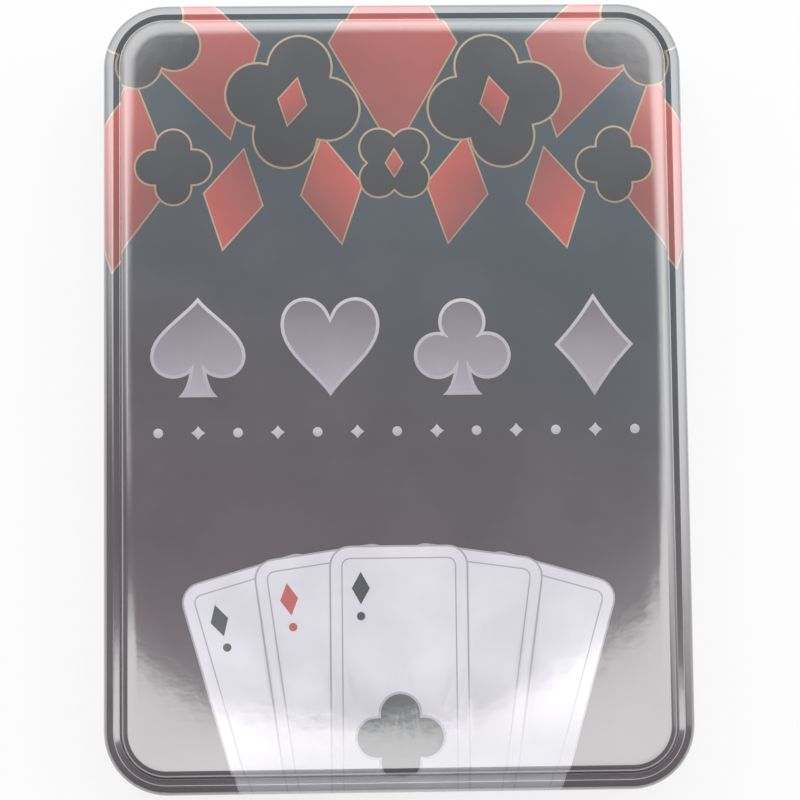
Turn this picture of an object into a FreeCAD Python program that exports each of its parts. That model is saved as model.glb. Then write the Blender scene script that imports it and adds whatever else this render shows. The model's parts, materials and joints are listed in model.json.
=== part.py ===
import FreeCAD
import Part
import math
import os

# A drawn tinplate case with a lift-off lid, holding two decks of playing cards side by side
# in a thermoformed tray. Millimetres, +Z up, origin in the middle of the foot plane.
# X is the short side of the tin and Y the long side. The cards lie with their length along X.

# Cards
card_length = 88.0
card_width = 57.0
card_thickness = 0.29
card_corner_radius = 3.2
card_air_gap = 0.01
card_scatter = 0.2
card_seat_gap = 0.05

# Tray with one well for each deck and a finger pocket between them
well_clearance = 0.8
tray_sheet = 0.5
tray_flange = 1.6
tray_divider = 7.0
tray_depth = 13.5
tray_rim_clearance = 0.25
tray_seat_gap = 0.05
finger_pocket_length = 26.0
finger_pocket_depth = 9.5
finger_pocket_corner_radius = 3.0
finger_pocket_reach = 1.2

# Tin base, drawn from one sheet, with a raised floor panel, a shoulder and a rolled rim
tin_sheet = 0.28
floor_rise = 0.8
floor_step_lean = 0.8
floor_step_radius = 0.6
foot_width = 4.0
bottom_edge_radius = 2.0
shoulder_radius = 0.4
neck_corner_radius = 9.9
rim_roll_diameter = 1.6
rim_over_deck = 0.7

# Tin lid, drawn from one sheet, with a crowned raised panel, a sloping ledge with a bead and a hemmed skirt
lid_clearance = 0.5
lid_seat_gap = 0.3
lid_skirt_depth = 9.6
lid_hem_height = 1.6
lid_hem_gap = 0.1
lid_edge_radius = 1.6
ledge_width = 3.1
ledge_foot_radius = 0.4
ledge_rise = 0.17
bead_inset = 1.75
bead_radius = 0.8
bead_fall = 0.62
panel_rise = 1.59
panel_riser_lean = 0.4
panel_shoulder_radius = 1.2
crown_rise = 0.06
crown_width = 1.8
crown_radius = 40.0

# One deck from its lowest card to its top card: name of the packet and how many cards it has
deck_packets = [
    ("jokers", 2),
    ("spade_courts", 3),
    ("spade_numbers", 10),
    ("diamond_courts", 3),
    ("diamond_numbers", 10),
    ("club_numbers", 10),
    ("club_courts", 3),
    ("heart_courts", 3),
    ("heart_numbers", 9),
    ("top_card", 1),
]
deck_names = ["red_deck", "blue_deck"]

# Two points nearer than this are one point
same_point = 1e-6

# Plan sizes, each taken from the piece that it holds
card_count = sum(count for _, count in deck_packets)
card_pitch = card_thickness + card_air_gap
well_length = card_length + 2 * well_clearance
well_width = card_width + 2 * well_clearance
well_corner_radius = card_corner_radius + well_clearance
well_centre = (tray_divider + well_width) / 2
tray_x = well_length + 2 * tray_flange
tray_y = 2 * well_width + tray_divider + 2 * tray_flange
neck_reach = tray_rim_clearance + rim_roll_diameter
neck_x = tray_x + 2 * neck_reach
neck_y = tray_y + 2 * neck_reach
tray_corner_radius = neck_corner_radius - neck_reach
lid_face = lid_clearance + tin_sheet

# Heights, from the foot up
floor_top = floor_rise + tin_sheet
tray_bottom = floor_top + tray_seat_gap
tray_floor = tray_bottom + tray_sheet
tray_top = tray_bottom + tray_depth
deck_bottom = tray_floor + card_seat_gap
deck_top = deck_bottom + card_count * card_pitch - card_air_gap
rim_top = deck_top + rim_over_deck
ledge_under = rim_top + lid_seat_gap
ledge_top = ledge_under + tin_sheet
skirt_bottom = ledge_top - lid_skirt_depth


def rounded_face(x_size, y_size, radius, z, y_centre=0.0, x_centre=0.0):
    """A flat face with four round corners, at height z."""
    half_x = x_size / 2
    half_y = y_size / 2
    low = FreeCAD.Vector(x_centre - half_x, y_centre - half_y, z)
    slanted = radius * (1 - math.cos(math.pi / 4))
    edges = []
    walk = [(0, 0, 1, 0, x_size), (1, 0, 0, 1, y_size), (1, 1, -1, 0, x_size), (0, 1, 0, -1, y_size)]
    for right, up, step_x, step_y, length in walk:
        corner = low + FreeCAD.Vector(right * x_size, up * y_size, 0)
        along = FreeCAD.Vector(step_x, step_y, 0)
        inward = FreeCAD.Vector(-step_y, step_x, 0)
        start = corner + along * radius
        end = corner + along * (length - radius)
        bend_end = corner + along * length + inward * radius
        bend_middle = corner + along * (length - slanted) + inward * slanted
        edges.append(Part.LineSegment(start, end).toShape())
        edges.append(Part.Arc(end, bend_middle, bend_end).toShape())
    return Part.Face(Part.Wire(edges))


def slab(x_size, y_size, radius, z_low, z_high, y_centre=0.0, x_centre=0.0):
    """A plate or block with round upright corners."""
    face = rounded_face(x_size, y_size, radius, z_low, y_centre, x_centre)
    return face.extrude(FreeCAD.Vector(0, 0, z_high - z_low))


def bent_line(points, radii, offset):
    """Edges of a bent line, moved sideways by offset to the left of its direction of travel.
    points are (outward, height) pairs and radii are the bends at the points between the ends."""
    vectors = [FreeCAD.Vector(outward, 0, height) for outward, height in points]
    runs = [(b - a).normalize() for a, b in zip(vectors, vectors[1:])]
    lefts = [FreeCAD.Vector(-run.z, 0, run.x) for run in runs]
    edges = []
    at = vectors[0] + lefts[0] * offset
    for corner, radius, run, left, next_run, next_left in zip(
        vectors[1:-1], radii, runs, lefts, runs[1:], lefts[1:]
    ):
        turn_side = 1 if run.x * next_run.z - run.z * next_run.x > 0 else -1
        half_turn = run.getAngle(next_run) / 2
        tangent = radius * math.tan(half_turn)
        bend_start = corner - run * tangent + left * offset
        bend_end = corner + next_run * tangent + next_left * offset
        centre = corner - run * tangent + left * (turn_side * radius)
        outward = (corner - centre).normalize()
        bend_middle = centre + outward * (radius - turn_side * offset)
        if (bend_start - at).Length > same_point:
            edges.append(Part.LineSegment(at, bend_start).toShape())
        edges.append(Part.Arc(bend_start, bend_middle, bend_end).toShape())
        at = bend_end
    end = vectors[-1] + lefts[-1] * offset
    if (end - at).Length > same_point:
        edges.append(Part.LineSegment(at, end).toShape())
    return edges


def sheet_section(points, radii, thickness):
    """The cut face of a bent sheet whose middle line runs through the points."""
    left = bent_line(points, radii, thickness / 2)
    right = bent_line(points, radii, -thickness / 2)
    start = Part.LineSegment(right[0].Vertexes[0].Point, left[0].Vertexes[0].Point).toShape()
    end = Part.LineSegment(left[-1].Vertexes[-1].Point, right[-1].Vertexes[-1].Point).toShape()
    return Part.Face(Part.Wire(Part.__sortEdges__(left + [end] + right + [start])))


def swept_round_tin(section):
    """Carries a section round the tin. Its zero is the outer face of the neck."""
    corner_x = neck_x / 2 - neck_corner_radius
    corner_y = neck_y / 2 - neck_corner_radius
    up = FreeCAD.Vector(0, 0, 1)
    at_radius = section.translated(FreeCAD.Vector(neck_corner_radius, 0, 0))
    pieces = []
    corners = [(corner_x, corner_y), (-corner_x, corner_y), (-corner_x, -corner_y), (corner_x, -corner_y)]
    for quarter, (x, y) in enumerate(corners):
        turned = at_radius.rotated(FreeCAD.Vector(), up, 90 * quarter)
        placed = turned.translated(FreeCAD.Vector(x, y, 0))
        pieces.append(placed.revolve(FreeCAD.Vector(x, y, 0), up, 90))
        next_x, next_y = corners[quarter - 1]
        pieces.append(placed.extrude(FreeCAD.Vector(next_x - x, next_y - y, 0)))
    return pieces[0].multiFuse(pieces[1:])


def drawn_sheet(section, middle_reach, middle_low):
    """One drawn sheet: a section carried round the tin and the flat panel that it starts from."""
    middle = slab(
        neck_x + 2 * middle_reach,
        neck_y + 2 * middle_reach,
        neck_corner_radius + middle_reach,
        middle_low,
        middle_low + tin_sheet,
    )
    return swept_round_tin(section).fuse(middle).removeSplitter()


def tin_base():
    """Foot ring, raised floor panel, wall, shoulder, neck and rolled rim."""
    half_sheet = tin_sheet / 2
    roll = rim_roll_diameter / 2 - half_sheet
    body = lid_face - half_sheet
    neck = -half_sheet
    shoulder_high = skirt_bottom - lid_hem_gap
    step_outer = body - foot_width
    step_inner = step_outer - floor_step_lean
    panel_edge = step_inner - floor_step_radius
    roll_high = rim_top - half_sheet
    roll_low = roll_high - 2 * roll
    points = [
        (panel_edge, floor_rise + half_sheet),
        (step_inner, floor_rise + half_sheet),
        (step_outer, half_sheet),
        (body, half_sheet),
        (body, shoulder_high - (body - neck)),
        (neck, shoulder_high),
        (neck, roll_high),
        (neck - 2 * roll, roll_high),
        (neck - 2 * roll, roll_low),
        (neck - roll, roll_low),
    ]
    radii = [
        floor_step_radius,
        floor_step_radius,
        bottom_edge_radius,
        shoulder_radius,
        shoulder_radius,
        roll,
        roll,
        roll,
    ]
    return drawn_sheet(sheet_section(points, radii, tin_sheet), panel_edge, floor_rise)


def lid_hem():
    """The cut face of the skirt's lower edge, folded back flat inside the skirt."""
    inner = lid_clearance - tin_sheet
    bend_top = skirt_bottom + tin_sheet
    hem_top = skirt_bottom + lid_hem_height
    low = FreeCAD.Vector(lid_clearance, 0, skirt_bottom)
    outline = [(lid_face, bend_top), (lid_clearance, bend_top), (lid_clearance, hem_top), (inner, hem_top)]
    corners = [FreeCAD.Vector(outward, 0, height) for outward, height in outline]
    corners.append(FreeCAD.Vector(inner, 0, bend_top))
    edges = [Part.LineSegment(a, b).toShape() for a, b in zip(corners, corners[1:])]
    edges.append(Part.Arc(corners[-1], low, corners[0]).toShape())
    return Part.Face(Part.Wire(edges))


def tin_lid():
    """Crowned panel, riser, ledge, bead, skirt and hem."""
    half_sheet = tin_sheet / 2
    ledge = ledge_under + half_sheet
    panel = ledge + panel_rise
    skirt = lid_face - half_sheet
    valley = lid_face - ledge_width
    shoulder = valley - panel_riser_lean
    crown = shoulder - crown_width
    crown_slope = math.atan2(crown_rise, crown_width)
    panel_edge = crown - crown_radius * math.tan(crown_slope / 2)
    points = [
        (panel_edge, panel + crown_rise),
        (crown, panel + crown_rise),
        (shoulder, panel),
        (valley, ledge),
        (lid_face - bead_inset, ledge + ledge_rise),
        (skirt, ledge + ledge_rise - bead_fall),
        (skirt, skirt_bottom + tin_sheet),
    ]
    radii = [crown_radius, panel_shoulder_radius, ledge_foot_radius, bead_radius, lid_edge_radius]
    section = sheet_section(points, radii, tin_sheet).fuse(lid_hem()).removeSplitter().Faces[0]
    return drawn_sheet(section, panel_edge, panel + crown_rise - half_sheet)


def insert_tray():
    """Thermoformed sheet with a well for each deck and a finger pocket joining the wells."""
    above = tray_top + tray_sheet
    pocket_floor = tray_top - finger_pocket_depth
    pocket_width = tray_divider + 2 * finger_pocket_reach
    hollows = [
        (well_length, well_width, well_corner_radius, tray_floor, well_centre),
        (well_length, well_width, well_corner_radius, tray_floor, -well_centre),
        (finger_pocket_length, pocket_width, finger_pocket_corner_radius, pocket_floor, 0.0),
    ]
    outside = slab(tray_x, tray_y, tray_corner_radius, tray_top - tray_sheet, tray_top)
    inside = []
    walls = []
    for length, width, radius, floor, y_centre in hollows:
        inside.append(slab(length, width, radius, floor, above, y_centre))
        walls.append(
            slab(
                length + 2 * tray_sheet,
                width + 2 * tray_sheet,
                radius + tray_sheet,
                floor - tray_sheet,
                tray_top,
                y_centre,
            )
        )
    return outside.multiFuse(walls).cut(inside[0].multiFuse(inside[1:])).removeSplitter()


def card(deck_centre, place, phase):
    """One card of a deck, counted from the lowest, lying a little out of square with its neighbours."""
    golden_angle = math.pi * (3 - math.sqrt(5))
    x_shift = card_scatter * math.sin(golden_angle * place + phase)
    y_shift = card_scatter * math.cos(2 * golden_angle * place + phase)
    low = deck_bottom + place * card_pitch
    return slab(
        card_length,
        card_width,
        card_corner_radius,
        low,
        low + card_thickness,
        deck_centre + y_shift,
        x_shift,
    )


def deck(deck_centre, phase):
    """The packets of one deck, by name, each a list of separate cards."""
    packets = {}
    place = 0
    for packet, count in deck_packets:
        packets[packet] = [card(deck_centre, place + n, phase) for n in range(count)]
        place += count
    return packets


def main():
    os.makedirs("parts", exist_ok=True)
    nodes = {"tin_base": tin_base(), "tin_lid": tin_lid(), "insert_tray": insert_tray()}
    for side, deck_name in zip((-1, 1), deck_names):
        for packet, cards in deck(side * well_centre, side).items():
            nodes[f"{deck_name}_{packet}"] = Part.makeCompound(cards)
    for name, shape in nodes.items():
        shape.exportStep(f"parts/{name}.step")
        print(f"{name}: {len(shape.Solids)} solids, {shape.Volume:.1f} mm3, valid {shape.isValid()}")
    outside_x = neck_x + 2 * lid_face
    outside_y = neck_y + 2 * lid_face
    outside_z = ledge_top + panel_rise + crown_rise
    print(f"tin {outside_x:.2f} x {outside_y:.2f} x {outside_z:.2f} mm, rim {rim_top:.2f}, tray {tray_top:.2f}")


main()
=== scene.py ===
# %% [markdown]
# # A printed playing card tin
# The object is a pressed tinplate box with a lift-off lid. Inside, a thin plastic tray holds two decks of
# cards side by side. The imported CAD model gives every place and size, so the lesson starts by loading it
# as a fixed frame, and each piece is then made in that frame and tied to the body that carries it.

# %% Load the frame
import json
import math

import bmesh
import bpy
import numpy as np
from mathutils import Matrix, Vector, geometry


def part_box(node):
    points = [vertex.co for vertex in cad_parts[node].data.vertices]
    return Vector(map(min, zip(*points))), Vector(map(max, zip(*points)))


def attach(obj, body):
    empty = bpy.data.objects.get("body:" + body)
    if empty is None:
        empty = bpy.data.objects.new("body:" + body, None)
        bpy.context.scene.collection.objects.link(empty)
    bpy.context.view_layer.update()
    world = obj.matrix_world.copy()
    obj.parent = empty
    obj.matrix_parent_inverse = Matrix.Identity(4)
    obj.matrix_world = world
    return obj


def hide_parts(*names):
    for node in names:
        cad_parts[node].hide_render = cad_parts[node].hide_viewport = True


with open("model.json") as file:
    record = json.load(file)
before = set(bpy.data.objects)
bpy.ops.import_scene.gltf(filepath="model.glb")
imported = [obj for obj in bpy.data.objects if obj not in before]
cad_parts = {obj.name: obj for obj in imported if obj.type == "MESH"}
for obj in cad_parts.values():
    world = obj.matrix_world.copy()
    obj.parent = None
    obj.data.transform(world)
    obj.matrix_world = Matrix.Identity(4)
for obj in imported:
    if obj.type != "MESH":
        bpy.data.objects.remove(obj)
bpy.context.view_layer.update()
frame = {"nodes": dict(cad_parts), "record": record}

MM = 0.001
bpy.context.scene.view_settings.view_transform = "Standard"

# %% [markdown]
# ## The camera
# The tin is seen from almost straight above, a little from its near end. The four outer corners of the
# lid were fitted to give the direction, the roll and the focal length, with the camera about a forearm's
# length away. A matrix made from the three axes of the view says this more directly than three rotation
# angles.

# %% Place the camera
view_distance = 320.0
view_rise = math.radians(85.557)
view_turn = math.radians(-16.109)
view_roll = math.radians(15.496)
view_lens = 85.717
view_aim = Vector((0.593, -1.199, 17.6))

toward_camera = Vector((
    math.sin(view_turn) * math.cos(view_rise),
    -math.cos(view_turn) * math.cos(view_rise),
    math.sin(view_rise),
))
level_right = Vector((math.cos(view_turn), math.sin(view_turn), 0.0))
level_up = toward_camera.cross(level_right)
view_right = level_right * math.cos(view_roll) + level_up * math.sin(view_roll)
view_up = level_up * math.cos(view_roll) - level_right * math.sin(view_roll)
camera_place = (view_aim + toward_camera * view_distance) * MM

camera_data = bpy.data.cameras.new("table_camera")
camera_data.sensor_width = 36.0
camera_data.lens = view_lens
camera_data.clip_start = 0.01
camera = bpy.data.objects.new("table_camera", camera_data)
camera.matrix_world = Matrix((view_right, view_up, toward_camera)).transposed().to_4x4()
camera.matrix_world.translation = camera_place
bpy.context.scene.collection.objects.link(camera)
bpy.context.scene.camera = camera
print("camera at", [round(value, 4) for value in camera_place])

# %% [markdown]
# ## Building materials from nodes
# Every finish below is a small node tree. One helper adds a node, sets its plain values and links what
# comes from other nodes, so that a finish reads as a list of what feeds what.

# %% Node helper
def feed(tree, value, socket):
    """Links another node's output to a socket, or sets the socket to a plain value."""
    if isinstance(value, bpy.types.NodeSocket):
        tree.links.new(value, socket)
    elif value is not None:
        socket.default_value = value


def add_node(tree, kind, settings=None, **sockets):
    """Adds a shader node; a socket's name is written with _ for its spaces."""
    made = tree.nodes.new("ShaderNode" + kind)
    for name, value in (settings or {}).items():
        setattr(made, name, value)
    for name, value in sockets.items():
        feed(tree, value, made.inputs[name.replace("_", " ")])
    return made


def math_node(tree, operation, first, second=None):
    """One sum of two numbers or links."""
    made = add_node(tree, "Math", {"operation": operation})
    feed(tree, first, made.inputs[0])
    feed(tree, second, made.inputs[1])
    return made.outputs[0]


def ease(tree, value, low, high, from_value=0.0, to_value=1.0):
    """Goes smoothly from one value to another while the input runs from low to high."""
    made = add_node(
        tree, "MapRange", {"interpolation_type": "SMOOTHSTEP"}, Value=value,
        From_Min=low, From_Max=high, To_Min=from_value, To_Max=to_value)
    return made.outputs["Result"]


def mix_colours(tree, factor, first, second):
    """Mixes two plain or linked colours by a linked factor."""
    made = add_node(tree, "Mix", {"data_type": "RGBA"})
    tree.links.new(factor, made.inputs[0])
    for socket, colour in zip(made.inputs[6:8], (first, second)):
        feed(tree, (*colour, 1.0) if isinstance(colour, tuple) else colour, socket)
    return made.outputs[2]


def mix_shaders(tree, factor, first, second):
    """Mixes two shaders by a linked or plain factor."""
    made = add_node(tree, "MixShader", Fac=factor)
    tree.links.new(first, made.inputs[1])
    tree.links.new(second, made.inputs[2])
    return made.outputs[0]


print("node helpers ready")

# %% [markdown]
# ## The studio
# A glossy, almost flat lid acts as a mirror, so the light has to be made as a picture that the lid
# reflects. Here it is a large soft light that fills the far half of the sky. A round dark opening
# overhead lets the camera look through: the middle of the lid shows the opening, and the rim shows the
# light. A second, smaller patch behind the camera lights up the near end of the lid. The world is a
# function of direction alone, so it stands still when the view changes, and it gets pale towards the
# horizon, like a light tent.

# %% Sizes of the light tent
sky_gap_middle = (0.008, 0.1125)
sky_gap_edge = (0.168, 0.250)
far_side_tilt = 0.12
far_half_edge = (-0.10, 0.22)
high_sky = (0.25, 0.75)
patch_middle = (-0.001, 0.1345)
patch_inner_edge = (0.215, 0.235)
patch_outer_edge = (0.323, 0.463)
near_end_tilt = 0.15
near_end_edge = (0.02, -0.03)
horizon_edge = (0.2, 0.04)
least_rise = 0.02
patch_light = 2.2
high_light = 2.1
low_light = 1.7
shade_light = 0.12
horizon_light = 0.7
print("sky from", low_light, "to", high_light, "and a patch of", patch_light)

# %% Light tent
world = bpy.data.worlds.new("light_tent")
world.use_nodes = True
bpy.context.scene.world = world
tent = world.node_tree
direction = add_node(tent, "SeparateXYZ", Vector=add_node(tent, "TexCoord").outputs["Generated"]).outputs
height = direction["Z"]
rise = math_node(tent, "MAXIMUM", height, least_rise)
slope_x = math_node(tent, "DIVIDE", direction["X"], rise)
slope_y = math_node(tent, "DIVIDE", direction["Y"], rise)


def slope_reach(middle):
    """How far a direction leans away from a middle direction."""
    x = math_node(tent, "SUBTRACT", slope_x, middle[0])
    y = math_node(tent, "SUBTRACT", slope_y, middle[1])
    square = math_node(tent, "ADD", math_node(tent, "MULTIPLY", x, x), math_node(tent, "MULTIPLY", y, y))
    return math_node(tent, "SQRT", square)


height_square = math_node(tent, "MULTIPLY", height, height)
level = math_node(tent, "SQRT", math_node(tent, "SUBTRACT", 1.001, height_square))
heading = math_node(tent, "ADD", direction["Y"], math_node(tent, "MULTIPLY", direction["X"], far_side_tilt))
far_half = ease(tent, math_node(tent, "DIVIDE", heading, level), *far_half_edge)
sky = math_node(tent, "MULTIPLY", ease(tent, slope_reach(sky_gap_middle), *sky_gap_edge), far_half)
sky = math_node(tent, "MULTIPLY", sky, ease(tent, height, *high_sky, low_light, high_light))
near_slope = math_node(tent, "SUBTRACT", slope_y, math_node(tent, "MULTIPLY", slope_x, near_end_tilt))
near_end = ease(tent, near_slope, *near_end_edge)
patch_reach = slope_reach(patch_middle)
patch = math_node(tent, "MULTIPLY", ease(tent, patch_reach, *patch_inner_edge), near_end)
patch = math_node(tent, "MULTIPLY", patch, ease(tent, patch_reach, *patch_outer_edge, patch_light, 0.0))
horizon = ease(tent, height, *horizon_edge, shade_light, horizon_light)
glow = math_node(tent, "MAXIMUM", math_node(tent, "MAXIMUM", sky, patch), horizon)
background = tent.nodes["Background"]
tent.links.new(glow, background.inputs["Strength"])
background.inputs["Color"].default_value = (1.0, 0.996, 0.985, 1.0)
print("light tent with", len(tent.nodes), "nodes")

# %% [markdown]
# The floor is white paper. Looked at directly or in a reflection, it is mostly its own white, so the
# background stays white while a faint shadow of the tin remains. The light that it throws on the tin is
# that of plain paper.

# %% Floor
floor_size = 8.0
own_white = 0.82
floor_corners = [(x * floor_size, y * floor_size, 0.0) for x, y in ((-1, -1), (1, -1), (1, 1), (-1, 1))]
floor_mesh = bpy.data.meshes.new("studio_floor")
floor_mesh.from_pydata(floor_corners, [], [(0, 1, 2, 3)])
studio_floor = bpy.data.objects.new("studio_floor", floor_mesh)
bpy.context.scene.collection.objects.link(studio_floor)
paper = bpy.data.materials.new("studio_paper")
paper.use_nodes = True
paper_tree = paper.node_tree
paper_tree.nodes.clear()
paper_grain = add_node(paper_tree, "TexNoise", Scale=40.0, Detail=2.0).outputs["Fac"]
paper_tone = mix_colours(paper_tree, paper_grain, (0.93, 0.93, 0.93), (0.95, 0.95, 0.95))
paper_shade = add_node(paper_tree, "BsdfDiffuse", Color=paper_tone).outputs[0]
paper_glow = add_node(paper_tree, "Emission", Strength=1.0).outputs[0]
seen_paper = mix_shaders(paper_tree, own_white, paper_shade, paper_glow)
ray = add_node(paper_tree, "LightPath").outputs
seen = math_node(paper_tree, "MAXIMUM", ray["Is Camera Ray"], ray["Is Glossy Ray"])
seen = math_node(paper_tree, "MAXIMUM", seen, ray["Is Transmission Ray"])
add_node(paper_tree, "OutputMaterial", Surface=mix_shaders(paper_tree, seen, paper_shade, seen_paper))
floor_mesh.materials.append(paper)
print("floor", 2 * floor_size, "m wide")

# %% [markdown]
# ## The bent sheet
# Lid and base are both drawn from flat tinplate 0.28 mm thick: straight runs joined by round bends. A
# bent sheet is given here by the corners of its middle line and the radius of each bend. The helper walks
# along one face of the sheet and gives, for each point, how far out and how high it is, and which way the
# face looks there.

# %% Walk along a bent sheet
tin_sheet = 0.28
bend_step = math.radians(10.0)


def bent_face(corners, radii, offset):
    """Rows of (outward, height, outward part and upward part of the normal) along one face of the sheet."""
    corners = [np.array(corner, float) for corner in corners]
    runs = [(end - start) / np.linalg.norm(end - start) for start, end in zip(corners, corners[1:])]
    lefts = [np.array((-run[1], run[0])) for run in runs]
    side = math.copysign(1.0, offset)
    rows = [(*(corners[0] + lefts[0] * offset), *(lefts[0] * side))]
    for index, radius in enumerate(radii):
        run, left = runs[index], lefts[index]
        after = runs[index + 1]
        turn = math.atan2(run[0] * after[1] - run[1] * after[0], float(run @ after))
        bend = math.copysign(radius, turn)
        centre = corners[index + 1] - run * radius * math.tan(abs(turn) / 2) + left * bend
        steps = max(4, math.ceil(abs(turn) / bend_step))
        for step in range(steps + 1):
            angle = turn * step / steps
            cosine, sine = math.cos(angle), math.sin(angle)
            normal = np.array((left[0] * cosine - left[1] * sine, left[0] * sine + left[1] * cosine))
            rows.append((*(centre + normal * (offset - bend)), *(normal * side)))
    rows.append((*(corners[-1] + lefts[-1] * offset), *(lefts[-1] * side)))
    kept = [row for row, last in zip(rows[1:], rows) if math.dist(row[:2], last[:2]) > 1e-5]
    return np.array([rows[0], *kept])


print("tin sheet", tin_sheet, "mm")

# %% [markdown]
# ## The lid's section
# The lid has a raised panel with a slight crown, a steep riser down to a narrow ledge, a bead, a round
# edge and a short skirt. The foot of the skirt is folded up inside as a hem, so that no cut edge is left
# to scratch a hand. The numbers are those of the drawing; the outer sizes come from the frame.

# %% Lid section
lid_low, lid_high = (np.array(corner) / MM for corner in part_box("tin_lid"))
tin_half = lid_high[:2]
lid_foot, lid_top = lid_low[2], lid_high[2]
tin_corner_radius = 10.68
spine_inset = 7.0
crown_rise, crown_width, crown_radius = 0.06, 1.8, 40.0
panel_rise, riser_lean, panel_shoulder_radius = 1.59, 0.4, 1.2
ledge_rise, ledge_width, ledge_foot_radius = 0.17, 3.1, 0.4
bead_fall, bead_inset, bead_radius = 0.62, 1.75, 0.8
lid_edge_radius = 1.6
hem_height = 1.6

panel_height = lid_top - tin_sheet / 2
shoulder_height = panel_height - crown_rise
ledge_height = shoulder_height - panel_rise
skirt = -tin_sheet / 2
lid_corners = [
    (-spine_inset, panel_height),
    (-ledge_width - riser_lean - crown_width, panel_height),
    (-ledge_width - riser_lean, shoulder_height),
    (-ledge_width, ledge_height),
    (-bead_inset, ledge_height + ledge_rise),
    (skirt, ledge_height + ledge_rise - bead_fall),
    (skirt, lid_foot + tin_sheet),
]
lid_bends = [crown_radius, panel_shoulder_radius, ledge_foot_radius, bead_radius, lid_edge_radius]
printed_face = bent_face(lid_corners, lid_bends, tin_sheet / 2)
bare_face = bent_face(lid_corners, lid_bends, -tin_sheet / 2)
printed_run = np.concatenate(([0.0], np.cumsum(np.hypot(*np.diff(printed_face[:, :2], axis=0).T))))
print("lid", np.round(2 * tin_half, 2), "mm;", round(printed_run[-1], 2), "mm of print past the flat panel")

# %% [markdown]
# ## From flat blank to drawn lid
# A tin is printed while it is still a flat sheet, and only then pressed. The lid is made the same way
# round: the artwork is laid out on a flat blank in millimetres, and one function says where each point of
# the blank ends up on the pressed lid. Inside the panel nothing moves but the height. Past it, a point
# travels along the section that was just drawn, straight out from the sides and fanwise round the
# corners.

# %% Places on the blank
corner_centre = tin_half - tin_corner_radius
spine_radius = tin_corner_radius - spine_inset
panel_half = tin_half - spine_inset


def past_panel(blank):
    """How far points of the blank lie outside the flat panel; negative inside it."""
    beyond = np.abs(blank) - corner_centre
    outside = np.maximum(beyond, 0.0)
    return np.hypot(outside[:, 0], outside[:, 1]) + np.minimum(beyond.max(axis=1), 0.0) - spine_radius


def ring_frame(plan):
    """For points round the tin: the corner centre or side foot they hang from, and the way straight out."""
    outside = np.maximum(np.abs(plan) - corner_centre, 0.0)
    length = np.maximum(np.hypot(outside[:, 0], outside[:, 1]), 1e-9)
    heading = outside / length[:, None] * np.sign(plan)
    core = np.sign(plan) * np.minimum(np.abs(plan), corner_centre)
    return core, heading


print("flat panel", np.round(2 * panel_half, 2), "mm")

# %% Waves and dents of the panel
panel_dents = [(32.6, -46.4, 1.3, 0.004), (-4.5, -10.6, 2.4, 0.008)]
panel_waves = [(0.012, 37.0, 0.4, 0.6), (0.007, 27.0, 1.7, 2.1), (0.004, 19.0, 2.6, 4.0)]


def panel_lift(blank):
    """Faint waves and dents of the thin panel; it hangs a little below its flat height."""
    inward = np.clip(1.0 - (blank / panel_half) ** 2, 0.0, 1.0)
    hold = inward[:, 0] * inward[:, 1]
    lift = np.zeros(len(blank))
    for height, length, heading, start in panel_waves:
        walk = blank[:, 0] * math.cos(heading) + blank[:, 1] * math.sin(heading)
        wave = np.sin(2 * math.pi * walk / length + start) - 1.0
        lift = lift + height * np.minimum(4 * hold, 1.0) * wave
    for x, y, radius, depth in panel_dents:
        lift = lift - depth * np.exp(-((blank[:, 0] - x) ** 2 + (blank[:, 1] - y) ** 2) / radius ** 2)
    return lift


print(len(panel_waves), "waves and", len(panel_dents), "dents")

# %% Press the blank
def press(blank):
    """Places and normals on the pressed lid for points of the flat blank."""
    core, heading = ring_frame(blank)
    past = past_panel(blank)
    row = [np.interp(np.maximum(past, 0.0), printed_run, printed_face[:, column]) for column in range(4)]
    on_rim = (past > 0.0)[:, None]
    plan = np.where(on_rim, core + heading * (tin_corner_radius + row[0])[:, None], blank)
    lift = np.where(past > 0.0, 0.0, panel_lift(blank))
    step = 0.05
    tilt = [-(panel_lift(blank + shift) - panel_lift(blank - shift)) / (2 * step)
            for shift in (np.array((step, 0.0)), np.array((0.0, step)))]
    panel_normals = np.column_stack((*tilt, np.ones(len(blank))))
    rim_normals = np.column_stack((heading * row[2][:, None], row[3]))
    normals = np.where(on_rim, rim_normals, panel_normals)
    normals /= np.linalg.norm(normals, axis=1)[:, None]
    return np.column_stack((plan, row[1] + lift)), normals


def blank_ring(past, corner_steps=14, side_step=3.6):
    """A closed outline on the blank, a given distance outside the panel."""
    radius = spine_radius + past
    outline = []
    for turn, (sx, sy) in enumerate(((1, 1), (-1, 1), (-1, -1), (1, -1))):
        for step in range(corner_steps + 1):
            angle = math.pi / 2 * (turn + step / corner_steps)
            outline.append((sx * corner_centre[0] + radius * math.cos(angle),
                            sy * corner_centre[1] + radius * math.sin(angle)))
        side = 2 * corner_centre[turn % 2]
        count = round(side / side_step)
        start = np.array(outline[-1])
        along_side = np.array(((-1, 0), (0, -1), (1, 0), (0, 1))[turn], float) * side / count
        outline.extend(tuple(start + along_side * step) for step in range(1, count))
    return np.array(outline)


print("blank", np.round(2 * (panel_half + printed_run[-1]), 1), "mm before pressing")

# %% [markdown]
# ## Drawing the artwork
# The print is a set of flat shapes in a few inks, laid over each other like cut paper. Shapes are closed
# outlines in millimetres. A material could paint them with nodes, but shapes this sharp are clearer as
# real outlines that are cut into the mesh: each face then has one ink, and the print stays crisp at any
# distance.

# %% Simple outlines
def circle(centre, radius, steps=40):
    """A round outline."""
    angles = np.linspace(0.0, 2 * math.pi, steps, endpoint=False)
    return np.column_stack((centre[0] + radius * np.cos(angles), centre[1] + radius * np.sin(angles)))


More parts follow.
